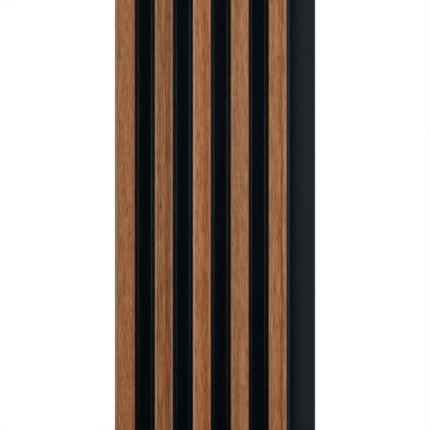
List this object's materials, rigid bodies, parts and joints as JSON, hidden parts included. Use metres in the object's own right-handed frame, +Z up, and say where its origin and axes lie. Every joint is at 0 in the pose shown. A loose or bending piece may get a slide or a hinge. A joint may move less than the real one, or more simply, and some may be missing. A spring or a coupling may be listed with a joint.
{
  "type": "slatted wall panel",
  "caption": "Slatted wall panel: wood-effect ribs on a black ribbed base, with a lap lip along one long edge and a rebate behind the other, glued flat to a wall.",
  "frame": {"origin": "centre of the back face, half way up the cut length", "axes": "+X across the ribs towards the lip, -Y out of the wall, +Z up along the ribs"},
  "size_m": [0.122, 0.012, 0.3],
  "materials": {
    "black_profile": "satin black, through-coloured foamed polystyrene with fine lines along the extrusion",
    "wood_film": "satin printed film, brown wood grain running along the rib"
  },
  "bodies": {
    "root": {"base_profile": "black_profile", "wood_film_1": "wood_film", "wood_film_2": "wood_film", "wood_film_3": "wood_film", "wood_film_4": "wood_film", "wood_film_5": "wood_film"}
  },
  "joints": []
}
